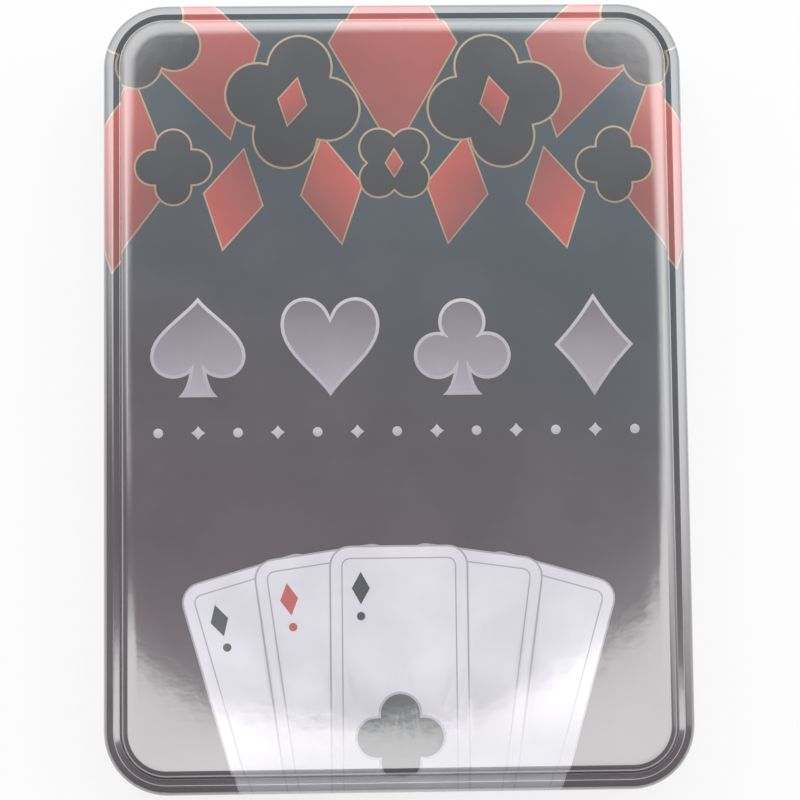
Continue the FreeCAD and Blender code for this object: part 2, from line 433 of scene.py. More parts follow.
def placed(outline, centre, lean=0.0, scale=1.0):
    """Turns, scales and moves an outline; the lean is in degrees."""
    cosine, sine = math.cos(math.radians(lean)), math.sin(math.radians(lean))
    turned = np.array(outline, float) * scale @ np.array(((cosine, sine), (-sine, cosine)))
    return turned + np.array(centre)


def lozenge(half_width, half_height, hollow=0.0, steps=8):
    """A diamond whose sides may curve inwards a little."""
    tips = np.array(((half_width, 0.0), (0.0, half_height), (-half_width, 0.0), (0.0, -half_height)))
    rows = []
    for start, end in zip(tips, np.roll(tips, -1, axis=0)):
        for part in np.linspace(0.0, 1.0, steps, endpoint=False):
            rows.append((start + (end - start) * part) * (1.0 - hollow * 4 * part * (1 - part)))
    return np.array(rows)


def quatrefoil(lobe, spread, steps=18):
    """Four round lobes about a middle, each of radius lobe, spread from the centre."""
    cusp = spread * math.sqrt(0.5) + math.sqrt(lobe ** 2 - spread ** 2 / 2)
    half_arc = math.atan2(cusp * math.sqrt(0.5), cusp * math.sqrt(0.5) - spread)
    arc = np.linspace(-half_arc, half_arc, steps, endpoint=False)
    petal = np.column_stack((spread + lobe * np.cos(arc), lobe * np.sin(arc)))
    return np.concatenate([placed(petal, (0.0, 0.0), 90.0 * turn) for turn in range(4)])


def rounded_card(half_width, half_height, radius, steps=8):
    """A rectangle with round corners."""
    rows = []
    for turn, (sx, sy) in enumerate(((1, 1), (-1, 1), (-1, -1), (1, -1))):
        for angle in np.linspace(math.pi / 2 * turn, math.pi / 2 * (turn + 1), steps):
            rows.append((sx * (half_width - radius) + radius * math.cos(angle),
                         sy * (half_height - radius) + radius * math.sin(angle)))
    return np.array(rows)


print("a lozenge has", len(lozenge(1.0, 1.0)), "points and a quatrefoil", len(quatrefoil(1.0, 1.0)))

# %% Curves and insets
def bezier(*points, steps=10):
    """Points along joined cubic curves, without the last end."""
    points = np.array(points, float)
    rows = []
    for first in range(0, len(points) - 1, 3):
        a, b, c, d = points[first:first + 4]
        for part in np.linspace(0.0, 1.0, steps, endpoint=False):
            rest = 1.0 - part
            rows.append(a * rest ** 3 + 3 * b * rest ** 2 * part + 3 * c * rest * part ** 2 + d * part ** 3)
    return np.array(rows)


def inset(outline, distance, least_spread=0.35):
    """The outline moved inwards by a distance."""
    ahead = np.roll(outline, -1, axis=0)
    area = np.sum(outline[:, 0] * ahead[:, 1] - ahead[:, 0] * outline[:, 1])
    edge = ahead - outline
    edge = edge / np.linalg.norm(edge, axis=1)[:, None] * math.copysign(1.0, area)
    inward = np.column_stack((-edge[:, 1], edge[:, 0]))
    before = np.roll(inward, 1, axis=0)
    spread = 1.0 + np.sum(inward * before, axis=1)
    return outline + (inward + before) * (distance / np.maximum(spread, least_spread))[:, None]


print("curve helpers ready")

# %% Suit shapes
heart_shape = bezier(
    (0.0, -0.5), (0.14, -0.28), (0.5, -0.06), (0.5, 0.22),
    (0.5, 0.4), (0.38, 0.5), (0.26, 0.5),
    (0.13, 0.5), (0.03, 0.41), (0.0, 0.3),
    (-0.03, 0.41), (-0.13, 0.5), (-0.26, 0.5),
    (-0.38, 0.5), (-0.5, 0.4), (-0.5, 0.22),
    (-0.5, -0.06), (-0.14, -0.28), (0.0, -0.5),
)
stem_shape = bezier(
    (-0.2, -0.5), (-0.1, -0.42), (-0.07, -0.25), (-0.06, 0.0),
    (-0.02, 0.0), (0.02, 0.0), (0.06, 0.0),
    (0.07, -0.25), (0.1, -0.42), (0.2, -0.5),
    (0.1, -0.5), (-0.1, -0.5), (-0.2, -0.5),
    steps=6,
)
suit_shapes = {
    "heart": [heart_shape],
    "diamond": [lozenge(0.4, 0.52, 0.06)],
    "spade": [placed(heart_shape * (0.96, -0.82), (0.0, 0.1)), stem_shape],
    "club": [circle((0.0, 0.24), 0.24), circle((-0.25, -0.1), 0.24), circle((0.25, -0.1), 0.24),
             circle((0.0, 0.0), 0.2), stem_shape],
}
print("suit shapes:", {name: len(parts) for name, parts in suit_shapes.items()})

# %% [markdown]
# ## The layout of the lid
# The print is charcoal with a band of red harlequin lozenges and gold-lined quatrefoils at the far end,
# one row of flat silver suit signs across the middle with a row of small silver beads below it, and a
# fan of blank white leaves at the near end. Each sign has a pale rim and a face that darkens towards the
# top: a painted highlight and painted shade that make the flat sign look raised. The lozenges, the
# quatrefoils and the leaves run over the rim, as on a sheet that was printed before it was pressed. Each
# shape has an ink and a sweep: the line along which its ink gets paler.

# %% Layout helpers
artwork = []


def lay(ink, outline, sweep_from=None, sweep_to=None):
    """Lays one shape over those that are there already."""
    low, high = outline.min(axis=0), outline.max(axis=0)
    middle = (low[0] + high[0]) / 2
    start = np.array((middle, low[1]) if sweep_from is None else sweep_from)
    end = np.array((middle, high[1]) if sweep_to is None else sweep_to)
    artwork.append((ink, outline, start, end))


def lay_lined(ink, outline, line, line_ink="gold_ink", sweep=(0.0, 1.0)):
    """Lays a shape with a thin line round it; the sweep is a direction across the shape."""
    middle = outline.mean(axis=0)
    sweep = np.array(sweep) / np.linalg.norm(sweep)
    half = np.max(np.abs((outline - middle) @ sweep))
    lay(line_ink, outline, middle - sweep * half, middle + sweep * half)
    lay(ink, inset(outline, line), middle - sweep * half, middle + sweep * half)


print("layout helpers ready")

# %% Lozenges and quatrefoils
lay("ground_ink", rounded_card(60.0, 78.0, 16.0), (-10.0, -24.0), (8.0, 40.0))
for side in (-1, 1):
    for size, place, lean, line, sweep in (
        ((9.5, 17.0), (46.0, 37.0), 8.0, 0.28, (side, 0.6)),
        ((9.0, 15.0), (31.0, 57.0), -14.0, 0.28, (0.3, 1.0)),
        ((5.2, 9.0), (27.0, 32.5), 12.0, 0.26, (side, -0.7)),
    ):
        shape = placed(lozenge(*size), (side * place[0], place[1]), side * lean)
        lay_lined("red_ink", shape, line, sweep=sweep)
lay_lined("red_ink", placed(lozenge(11.0, 19.0), (0.0, 59.0)), 0.28, sweep=(0.5, 1.0))
for side in (-1, 1):
    for ink, shape, place, lean, line, sweep in (
        ("red_ink", lozenge(5.4, 9.6), (10.5, 34.0), -10.0, 0.26, (-side, 0.8)),
        ("dark_ink", quatrefoil(4.6, 5.0), (41.5, 60.5), 20.0, 0.36, (0.0, 1.0)),
        ("dark_ink", quatrefoil(5.6, 6.0), (17.0, 49.0), 12.0, 0.36, (0.0, 1.0)),
        ("red_ink", lozenge(2.6, 4.4), (17.0, 49.0), 12.0, 0.22, (side, 1.0)),
        ("dark_ink", quatrefoil(3.2, 3.4), (37.0, 38.0), 0.0, 0.32, (0.0, 1.0)),
    ):
        lay_lined(ink, placed(shape, (side * place[0], place[1]), side * lean), line, sweep=sweep)
lay_lined("dark_ink", placed(quatrefoil(3.4, 3.7), (0.0, 38.5), 45.0), 0.32)
lay_lined("red_ink", placed(lozenge(1.6, 2.6), (0.0, 38.5)), 0.2)
print(len(artwork), "shapes with the band at the far end")

# %% Suit signs and beads
sign_row, sign_size = 7.6, 16.5
sign_highlight_width = 0.55
for place, suit in zip((-33.0, -11.0, 11.0, 33.0), ("spade", "heart", "club", "diamond")):
    parts = [placed(part, (place, sign_row), scale=sign_size) for part in suit_shapes[suit]]
    low, high = (place, sign_row - sign_size / 2), (place, sign_row + sign_size / 2)
    # The pale silver_edge rim round each sign is a painted highlight, and the silver face darkens towards
    # the top as painted shade: the signs are flat print made to look raised.
    for part in parts:
        lay("silver_edge", part, low, high)
    for part in parts:
        lay("silver_ink", inset(part, sign_highlight_width), high, low)

bead_row, bead_pitch = -6.6, 6.6
for number in range(-6, 7):
    bead = lozenge(1.15, 1.15, 0.12) if number % 2 else circle((0.0, 0.0), 0.8, 24)
    lay("silver_edge", placed(bead, (number * bead_pitch, bead_row)))
print(len(artwork), "shapes with the signs and beads")

# %% Fan of leaves
fan_pivot = np.array((0.0, -118.0))
leaf_half = (11.5, 26.5)
leaf_reach = 66.0
leaf_corner_radius = 3.4
leaf_edge_line = 0.3
leaf_inner_line = (2.0, 2.22)
leaf_mark_inset = (5.2, 7.0)
# The white leaves darken towards their foot, where the near-end patch of light is reflected: this is painted
# shade that keeps the foot from turning pure white under that reflection. It reaches higher on the leaves
# that lean to the right, following the edge of the reflection.
leaf_painted_shade = (-8.0, 5.0)
painted_shade_climb = 0.4
fan_order = ((16.0, "dark_ink"), (-16.0, "dark_ink"), (8.0, "red_ink"), (-8.0, "red_ink"), (0.0, "dark_ink"))


def on_leaf(outline, lean, at=(0.0, 0.0)):
    """Moves an outline from a leaf's own middle to its place in the fan."""
    return placed(np.array(outline) + np.array(at) + (0.0, leaf_reach), fan_pivot, lean)


leaf = rounded_card(*leaf_half, leaf_corner_radius)
leaf_corner = (-leaf_half[0] + leaf_mark_inset[0], leaf_half[1] - leaf_mark_inset[1])
for lean, mark in fan_order:
    whole = on_leaf([(0.0, -leaf_half[1]), (0.0, leaf_half[1])], lean)
    painted_shade_sweep = on_leaf([(0.0, height) for height in leaf_painted_shade], lean, (0.0, max(0.0, -lean * painted_shade_climb)))
    for ink, line, sweep in (
        ("leaf_line", 0.0, whole),
        ("leaf_white", leaf_edge_line, painted_shade_sweep),
        ("leaf_line", leaf_inner_line[0], whole),
        ("leaf_white", leaf_inner_line[1], painted_shade_sweep),
    ):
        lay(ink, on_leaf(inset(leaf, line), lean), *sweep)
    for shape in (lozenge(1.5, 2.7), circle((0.0, -4.6), 0.7, 20)):
        lay(mark, on_leaf(shape, lean, leaf_corner), *whole)
lay_lined("dark_ink", placed(quatrefoil(3.6, 3.9), (0.0, -57.0)), 0.4, "leaf_line")
print(len(artwork), "printed shapes")

# %% [markdown]
# ## Cutting the artwork into a sheet
# Blender's constrained Delaunay triangulation takes any set of outlines and gives triangles that keep
# every line. Rings along the bends keep the section round, a loose grid keeps the panel smooth, and the
# artwork's outlines make the edges of the ink. The middle of each triangle then tells which shape is on
# top there.

# %% Cut along outlines
weld_distance = 1e-4
same_place = 1e-3


def covered(points, outline):
    """Which points lie inside an outline, by counting the sides that a line to the right crosses."""
    ahead = np.roll(outline, -1, axis=0)
    low, high = outline.min(axis=0), outline.max(axis=0)
    near = np.nonzero(np.all((points >= low) & (points <= high), axis=1))[0]
    inside = np.zeros(len(points), bool)
    if len(near):
        x, y = points[near, 0][:, None], points[near, 1][:, None]
        rise = ahead[:, 1] - outline[:, 1]
        rise[rise == 0] = 1.0
        crosses = (outline[:, 1] > y) != (ahead[:, 1] > y)
        where = outline[:, 0] + (y - outline[:, 1]) * (ahead[:, 0] - outline[:, 0]) / rise
        inside[near] = (crosses & (x < where)).sum(axis=1) % 2 == 1
    return inside


def cut_sheet(outlines, loose_points, keep):
    """Triangles that follow every outline; keep says which triangle middles belong to the sheet."""
    points, edges = [], []
    for outline in outlines:
        first, count = len(points), len(outline)
        points.extend(Vector(point) for point in outline)
        edges.extend((first + step, first + (step + 1) % count) for step in range(count))
    points.extend(Vector(point) for point in loose_points)
    cut = geometry.delaunay_2d_cdt(points, edges, [], 0, weld_distance)
    corners = np.array([tuple(point) for point in cut[0]])
    faces = np.array(cut[2])
    faces = faces[keep(corners[faces].mean(axis=1))]
    used, renumbered = np.unique(faces, return_inverse=True)
    return corners[used], renumbered.reshape(-1, 3)


print("points closer than", weld_distance, "mm are one")

# %% Ink, edges and grids
even_shade = 0.5


def ink_faces(corners, faces, shapes, first_ink):
    """For each triangle the ink on top, and for each of its corners how far along the sweep it is."""
    middles = corners[faces].mean(axis=1)
    inks = np.full(len(faces), first_ink, dtype=object)
    shade = np.full((len(faces), 3), even_shade)
    for ink, outline, start, end in shapes:
        inside = covered(middles, outline)
        inks[inside] = ink
        line = end - start
        along_sweep = (corners[faces[inside]] - start) @ line / max(np.sum(line ** 2), 1e-9)
        shade[inside] = np.clip(along_sweep, 0.0, 1.0)
    return inks, shade


def edge_loop(faces):
    """The outer boundary of a sheet, as one closed list of corners."""
    sides = {(int(a), int(b)) for face in faces for a, b in zip(face, np.roll(face, -1))}
    following = {a: b for a, b in sides if (b, a) not in sides}
    loop = [next(iter(following))]
    while following[loop[-1]] != loop[0]:
        loop.append(following[loop[-1]])
    return np.array(loop)


def loose_grid(half, step):
    """A grid of points, every other row shifted by half a step."""
    rows = []
    for row in range(-int(half[1] / step), int(half[1] / step) + 1):
        shift = step / 2 if row % 2 else 0.0
        for column in range(-int(half[0] / step) - 1, int(half[0] / step) + 2):
            rows.append((column * step + shift, row * step))
    return np.array(rows)


print("ink, edge and grid helpers ready")

# %% Cut the lid's print
panel_step = 2.2
panel_margin = 1.0
dent_rings = (0.35, 0.75, 1.2, 1.8, 2.4)
lid_grid = loose_grid(panel_half, panel_step)
lid_grid = lid_grid[past_panel(lid_grid) < -panel_margin]
dent_points = [circle((x, y), radius * part, 10 + 6 * ring_number)
               for x, y, radius, _ in panel_dents
               for ring_number, part in enumerate(dent_rings)]
lid_outlines = [blank_ring(past) for past in printed_run] + [shape[1] for shape in artwork]
blank, blank_faces = cut_sheet(
    lid_outlines, np.concatenate([lid_grid, *dent_points]),
    lambda middles: past_panel(middles) < printed_run[-1] - same_place)
lid_inks, lid_shade = ink_faces(blank, blank_faces, artwork, "ground_ink")
print(len(blank), "points and", len(blank_faces), "triangles in the printed sheet")

# %% [markdown]
# ## Gathering a piece
# A thin sheet has two faces and an edge, so each piece below is put together from cut sheets, bands
# between two rings and level fills. One small class keeps the corners, faces, inks and normals of a piece
# together until its Blender object is made.

# %% Piece helper
class Form:
    """Gathers the corners, faces, inks and corner normals of one piece, in mm."""

    def __init__(self):
        self.corners, self.faces, self.inks, self.normals = [], [], [], []

    def add_points(self, points):
        """Adds corners and gives their numbers."""
        first = sum(len(part) for part in self.corners)
        self.corners.append(points)
        return first + np.arange(len(points))

    def add_faces(self, faces, inks, normals):
        """Adds faces by the numbers of their corners; a single ink stands for all of them."""
        self.faces.extend(faces)
        self.inks.extend([inks] * len(faces) if isinstance(inks, str) else inks)
        self.normals.extend(np.reshape(normals, (-1, 3)))

    def add_band(self, first, second, first_normals, second_normals, ink):
        """Joins one ring of corners to the next with quads."""
        quads = np.column_stack((first, np.roll(first, -1), np.roll(second, -1), second))
        around = (first_normals, np.roll(first_normals, -1, axis=0),
                  np.roll(second_normals, -1, axis=0), second_normals)
        self.add_faces(quads, ink, np.stack(around, axis=1))

    def add_level(self, faces, inks, up):
        """Adds level faces, listed as seen from above; with an up of -1 they look down."""
        faces = faces if up > 0 else faces[:, ::-1]
        self.add_faces(faces, inks, np.full((faces.size, 3), (0.0, 0.0, up)))

    def make(self, name, finishes, shade=None, wear=None):
        """Makes the Blender object, without corners that no face uses."""
        used, renumbered = np.unique(np.concatenate(self.faces), return_inverse=True)
        faces = np.split(renumbered, np.cumsum([len(face) for face in self.faces])[:-1])
        corners = np.concatenate(self.corners)[used] * MM
        mesh = bpy.data.meshes.new(name)
        mesh.from_pydata(corners.tolist(), [], [face.tolist() for face in faces])
        names = list(dict.fromkeys(self.inks))
        for ink in names:
            mesh.materials.append(finishes[ink])
        mesh.polygons.foreach_set("material_index", [names.index(ink) for ink in self.inks])
        mesh.polygons.foreach_set("use_smooth", [True] * len(faces))
        if shade is not None:
            mesh.attributes.new("ink_shade", "FLOAT", "CORNER").data.foreach_set("value", shade)
        if wear is not None:
            mesh.attributes.new("wear", "FLOAT", "POINT").data.foreach_set("value", wear[used])
        mesh.normals_split_custom_set([tuple(normal) for normal in self.normals])
        piece = bpy.data.objects.new(name, mesh)
        bpy.context.scene.collection.objects.link(piece)
        return piece


print("piece helper ready")

# %% Carry a section round the tin
def section_rings(plan, section):
    """Rings of points and normals where a section is carried round the tin."""
    core, heading = ring_frame(plan)
    rings, normals = [], []
    for outward, height, lean_out, lean_up in section:
        level = np.full(len(plan), height)
        rings.append(np.column_stack((core + heading * (tin_corner_radius + outward), level)))
        normals.append(np.column_stack((heading * lean_out, np.full(len(plan), lean_up))))
    return rings, normals


print("section helper ready")

# %% [markdown]
# ## Ink under varnish
# Lithographed tin is dull ink on bright metal with a hard, clear varnish over all of it. The Principled
# shader has this as a base and a coat. The base takes the ink's colour along its sweep, with faint
# blotches; the coat gets a high index, because stoved varnish reflects about a tenth of the light, and a
# fine orange peel. Where the drawn edge has rubbed against other things, the ink is thin, and pale metal
# shows in flecks.

# %% Finish helpers
def new_finish(name):
    """An empty finish: the material, its node tree and its shader."""
    made = bpy.data.materials.new(name)
    made.use_nodes = True
    return made, made.node_tree, made.node_tree.nodes["Principled BSDF"]


def surface_noise(tree, scale, detail=3.0, stretch=(1.0, 1.0, 1.0)):
    """Noise that sticks to the piece; a scale of 1000 gives features of about a millimetre."""
    place = add_node(tree, "TexCoord").outputs["Object"]
    stretched = add_node(tree, "Mapping", Vector=place, Scale=stretch).outputs["Vector"]
    return add_node(tree, "TexNoise", Vector=stretched, Scale=scale, Detail=detail).outputs["Fac"]


print("finish helpers ready")

# %% Inks
noise_span = (0.3, 0.7)
blotch_scale, fleck_scale, peel_scale, haze_scale = 75.0, 160.0, 420.0, 30.0
bare_metal = (0.55, 0.54, 0.53)
fleck_edge = (0.46, 0.60)
blotch_tones = (0.94, 1.06)
peel_strength, peel_depth = 0.12, 0.00004
ink_rough, ink_index = (0.08, 0.13), 2.0
varnish_rough, varnish_index = 0.05, 2.2


def varnished_ink(name, deep, pale):
    """Ink whose colour goes from deep to pale along its sweep, under clear varnish."""
    made, tree, shader = new_finish(name)
    sweep = add_node(tree, "Attribute", {"attribute_name": "ink_shade"}).outputs["Fac"]
    colour = mix_colours(tree, sweep, deep, pale)
    blotch = ease(tree, surface_noise(tree, blotch_scale), *noise_span, *blotch_tones)
    toned = add_node(tree, "HueSaturation", Value=blotch, Color=colour).outputs["Color"]
    rubbed = add_node(tree, "Attribute", {"attribute_name": "wear"}).outputs["Fac"]
    flecks = surface_noise(tree, fleck_scale, 8.0)
    bare = ease(tree, math_node(tree, "MULTIPLY", rubbed, flecks), *fleck_edge)
    tree.links.new(mix_colours(tree, bare, toned, bare_metal), shader.inputs["Base Color"])
    ripple = surface_noise(tree, peel_scale, 2.0)
    peel = add_node(tree, "Bump", Height=ripple, Strength=peel_strength, Distance=peel_depth)
    tree.links.new(peel.outputs["Normal"], shader.inputs["Normal"])
    tree.links.new(peel.outputs["Normal"], shader.inputs["Coat Normal"])
    haze = ease(tree, surface_noise(tree, haze_scale), *noise_span, *ink_rough)
    tree.links.new(haze, shader.inputs["Roughness"])
    shader.inputs["IOR"].default_value = ink_index
    shader.inputs["Coat Weight"].default_value = 1.0
    shader.inputs["Coat Roughness"].default_value = varnish_rough
    shader.inputs["Coat IOR"].default_value = varnish_index
    return made


ink_tones = {
    # ground_ink is lifted above the tin's own charcoal: part of its brightness is a painted reflection of
    # the ceiling. Its sweep from a purplish near end to a bluish far end is a tint.
    "ground_ink": ((0.150, 0.126, 0.143), (0.116, 0.144, 0.171)),
    "dark_ink": ((0.104, 0.104, 0.114), (0.122, 0.130, 0.146)),
    "red_ink": ((0.36, 0.150, 0.145), (0.68, 0.180, 0.165)),
    "gold_ink": ((0.48, 0.36, 0.24), (0.64, 0.51, 0.35)),
    # silver_edge is the beads' pale silver and the signs' painted highlight; silver_ink darkens to its deep
    # tone at the top of each sign as painted shade.
    "silver_edge": ((0.56, 0.53, 0.60), (0.74, 0.71, 0.77)),
    "silver_ink": ((0.26, 0.235, 0.28), (0.56, 0.52, 0.60)),
    # leaf_white's deep tone at each leaf's foot is partly the print's lavender shading and partly painted
    # shade under the near-end reflection; the pale tone is the leaf's own white.
    "leaf_white": ((0.48, 0.47, 0.53), (0.87, 0.85, 0.94)),
    "leaf_line": ((0.36, 0.34, 0.42), (0.50, 0.48, 0.56)),
}
finishes = {name: varnished_ink(name, deep, pale) for name, (deep, pale) in ink_tones.items()}
print(len(finishes), "inks")

# %% [markdown]
# ## Bare tinplate and lacquer
# Inside, the sheet is left bare: bright tin with the fine lines of the rolling mill. The outside of the
# base is stoved in near-black lacquer. Both get their life from uneven roughness rather than from colour.

# %% Tinplate and lacquer
def mottled_finish(
        name, tones, mottle, gloss, grain, strength, clouds=None, limits=noise_span, depth=0.00004):
    """Two close tones in one noise, a gloss that follows it or clouds of its own, and a fine grain."""
    made, tree, shader = new_finish(name)
    colour = mix_colours(tree, surface_noise(tree, *mottle), *tones)
    tree.links.new(colour, shader.inputs["Base Color"])
    rough = ease(tree, surface_noise(tree, *(clouds or mottle)), *limits, *gloss)
    tree.links.new(rough, shader.inputs["Roughness"])
    bump = add_node(tree, "Bump", Height=surface_noise(tree, *grain), Strength=strength, Distance=depth)
    tree.links.new(bump.outputs["Normal"], shader.inputs["Normal"])
    finishes[name] = made
    return shader


rolled_lines = (260.0, 4.0, (14.0, 0.35, 0.35))
tinplate = mottled_finish(
    "bare_tin", ((0.55, 0.55, 0.54), (0.76, 0.76, 0.75)), rolled_lines, (0.24, 0.40), rolled_lines, 0.08,
    clouds=(60.0, 3.0), depth=0.00003)
tinplate.inputs["Metallic"].default_value = 1.0
lacquer = mottled_finish(
    "black_lacquer", ((0.010, 0.010, 0.011), (0.022, 0.022, 0.024)), (140.0, 4.0, (1.0, 1.0, 4.0)),
    (0.26, 0.42), (900.0, 2.0), 0.12, limits=(0.35, 0.75))
lacquer.inputs["Coat Weight"].default_value = 0.7
lacquer.inputs["Coat Roughness"].default_value = 0.06
print("tinplate and lacquer ready")

# %% [markdown]
# ## Closing the lid
# The printed face is only one side of the metal. From its lower edge the section goes on round the hem
# and back up inside, as rings that follow the same edge, and the underside of the panel is closed by one
# more cut sheet. The normals are those of the drawn section, not averages of the triangles, so highlights
# run clean along the rim.

# %% Hem and underside of the lid
hem_inside = -2 * tin_sheet
lip_softness = 0.06
fold_gap = 0.04
hem_angles = np.linspace(0.0, -math.pi, 9)
hem_turn = [(tin_sheet * (math.cos(angle) - 1.0), lid_foot + tin_sheet * (1.0 + math.sin(angle)),
             math.cos(angle), math.sin(angle)) for angle in hem_angles]
hem_top = lid_foot + hem_height
hem_lip = [
    (hem_inside, hem_top - lip_softness, -1.0, 0.0),
    (hem_inside + lip_softness, hem_top, -0.4, 0.9),
    (-tin_sheet - fold_gap, hem_top, -0.2, 1.0),
    (-tin_sheet, hem_top + fold_gap, -1.0, 0.2),
]
inside_rows = [tuple(row) for row in bare_face[::-1][1:]]
lid_section = hem_turn[1:] + hem_lip + inside_rows
print(len(lid_section), "rows from the hem to the underside")

# %% Ring helper
inner_part = 0.98


def fill_ring(plan, step):
    """Closes a ring: its inner points, and triangles that number the ring's own points first."""
    grid = loose_grid(np.abs(plan).max(axis=0), step)
    grid = grid[covered(grid, plan * inner_part)]
    corners, faces = cut_sheet([plan], grid, lambda middles: covered(middles, plan))
    if not np.allclose(corners[:len(plan)], plan, atol=same_place):
        raise ValueError("the ring's points came back in another order")
    return corners[len(plan):], faces


print("ring helper ready")

# %% Lid mesh
printed_rows = 5
under_step = 5.0
pressed, pressed_normals = press(blank)
lid_form = Form()
lid_form.add_points(pressed)
lid_form.add_faces(blank_faces, lid_inks, pressed_normals[blank_faces])
last_ring = edge_loop(blank_faces)
last_normals = pressed_normals[last_ring]
rings, ring_normals = section_rings(pressed[last_ring][:, :2], lid_section)
for number, (ring, own_normals) in enumerate(zip(rings, ring_normals)):
    this_ring = lid_form.add_points(ring)
    ink = "ground_ink" if number < printed_rows else "bare_tin"
    lid_form.add_band(this_ring, last_ring, own_normals, last_normals, ink)
    last_ring, last_normals = this_ring, own_normals
under, under_faces = fill_ring(rings[-1][:, :2], under_step)
under_numbers = lid_form.add_points(np.column_stack((under, bare_face[0][1] + panel_lift(under))))
lid_form.add_level(np.concatenate((last_ring, under_numbers))[under_faces], "bare_tin", -1.0)
print(len(lid_form.faces), "faces in the lid")

# %% Wear, and the finished lid
shade = np.full(len(lid_form.normals), even_shade)
shade[:lid_shade.size] = lid_shade.ravel()
shoulder_wear_drop, shoulder_wear_width = 0.5, 0.35
edge_wear_inset, edge_wear_width = 0.6, 0.5
most_wear = 0.8
shoulder_run = np.interp(-ledge_width - riser_lean, printed_face[:, 0], printed_run)
edge_run = np.interp(-edge_wear_inset, printed_face[:, 0], printed_run)
past = past_panel(blank)
shoulder_wear = np.exp(-((past - shoulder_run - shoulder_wear_drop) / shoulder_wear_width) ** 2)
edge_wear = np.exp(-((past - edge_run) / edge_wear_width) ** 2)
lid_wear = np.zeros(under_numbers[-1] + 1)
lid_wear[:len(blank)] = most_wear * np.maximum(shoulder_wear, edge_wear)

printed_lid = lid_form.make("printed_lid", finishes, shade, lid_wear)
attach(printed_lid, "tin_lid")
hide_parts("tin_lid")
print("lid:", len(printed_lid.data.vertices), "points,", len(printed_lid.data.polygons), "faces")

# %% [markdown]
# ## The base
# The base is drawn from the same sheet: a foot ring with a raised floor, a wall flush with the lid, a
# shoulder that lets the neck go up inside the lid, and a rim rolled inwards. Since it has no print, a
# closed section carried round the tin is all it needs.

# %% Base section
base_high = np.array(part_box("tin_base")[1]) / MM
half_sheet = tin_sheet / 2
rim_roll_diameter = 1.6
lid_clearance = 0.5
hem_gap = 0.1
foot_width = 4.0
floor_rise, floor_step_lean, floor_step_radius = 0.8, 0.8, 0.6
bottom_edge_radius = 2.0
shoulder_radius = 0.4
lacquer_past_shoulder = 0.2
floor_step = 6.0

roll = (rim_roll_diameter - tin_sheet) / 2
neck = -lid_clearance - tin_sheet - half_sheet
shoulder_high = lid_foot - hem_gap
foot_edge = skirt - foot_width
floor_edge = foot_edge - floor_step_lean
rolled_high = base_high[2] - half_sheet
base_corners = [
    (floor_edge - floor_step_radius, floor_rise + half_sheet),
    (floor_edge, floor_rise + half_sheet),
    (foot_edge, half_sheet),
    (skirt, half_sheet),
    (skirt, shoulder_high - (skirt - neck)),
    (neck, shoulder_high),
    (neck, rolled_high),
    (neck - 2 * roll, rolled_high),
    (neck - 2 * roll, rolled_high - 2 * roll),
    (neck - roll, rolled_high - 2 * roll),
]
base_bends = [floor_step_radius] * 2 + [bottom_edge_radius] + [shoulder_radius] * 2 + [roll] * 3
outer_rows = bent_face(base_corners, base_bends, -half_sheet)
inner_rows = bent_face(base_corners, base_bends, half_sheet)[::-1]
base_section = np.concatenate((outer_rows, inner_rows))
print(len(base_section), "rows round the base's section")

# %% Base mesh
rings, ring_normals = section_rings(blank_ring(spine_inset), base_section)
base_form = Form()
numbers = [base_form.add_points(ring) for ring in rings]
for row in range(len(rings) - 1):
    outside = row < len(outer_rows) and base_section[row][1] < shoulder_high + lacquer_past_shoulder
    ink = "black_lacquer" if outside else "bare_tin"
    base_form.add_band(numbers[row], numbers[row + 1], ring_normals[row], ring_normals[row + 1], ink)
for row, height, up, ink in (
    (0, floor_rise, -1.0, "black_lacquer"),
    (-1, floor_rise + tin_sheet, 1.0, "bare_tin"),
):
    inner, inner_faces = fill_ring(rings[row][:, :2], floor_step)
    inner_numbers = base_form.add_points(np.column_stack((inner, np.full(len(inner), height))))
    base_form.add_level(np.concatenate((numbers[row], inner_numbers))[inner_faces], ink, up)
drawn_base = base_form.make("drawn_base", finishes)
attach(drawn_base, "tin_base")
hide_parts("tin_base")
print("base:", len(drawn_base.data.vertices), "points,", len(drawn_base.data.polygons), "faces")

# %% [markdown]
# ## The tray
# The tray is vacuum-formed from black sheet, so all its edges are a little soft. Its shape is right in
# the frame. A copy of that mesh is cleaned of the triangles that the CAD export adds, and a narrow bevel
# softens the edges. Faces with more than four corners are cut into triangles again first: a bevel can
# make a large face cross itself, and it would then close the wells.

# %% Tray
tray_edge_softness = 0.12
flat_angle = math.radians(1.0)
hard_edge_angle = math.radians(40.0)
sharp_shade_angle = math.radians(50.0)
mottled_finish(
    "tray_black", ((0.030, 0.030, 0.032), (0.052, 0.052, 0.055)), (45.0, 3.0),
    (0.34, 0.50), (1800.0, 3.0), 0.25)
tray_form = bmesh.new()
tray_form.from_mesh(frame["nodes"]["insert_tray"].data)
bmesh.ops.remove_doubles(tray_form, verts=tray_form.verts, dist=0.001 * MM)
bmesh.ops.dissolve_limit(tray_form, angle_limit=flat_angle, verts=tray_form.verts, edges=tray_form.edges)
bmesh.ops.triangulate(tray_form, faces=[face for face in tray_form.faces if len(face.verts) > 4])
hard_edges = [
    edge for edge in tray_form.edges if edge.is_manifold and edge.calc_face_angle(0.0) > hard_edge_angle]
bmesh.ops.bevel(
    tray_form, geom=hard_edges, offset=tray_edge_softness * MM, segments=2, affect="EDGES", profile=0.5,
    clamp_overlap=True)
tray_mesh = bpy.data.meshes.new("formed_tray")
tray_form.to_mesh(tray_mesh)
tray_form.free()
tray_mesh.materials.clear()
tray_mesh.materials.append(finishes["tray_black"])
tray_mesh.polygons.foreach_set("material_index", [0] * len(tray_mesh.polygons))
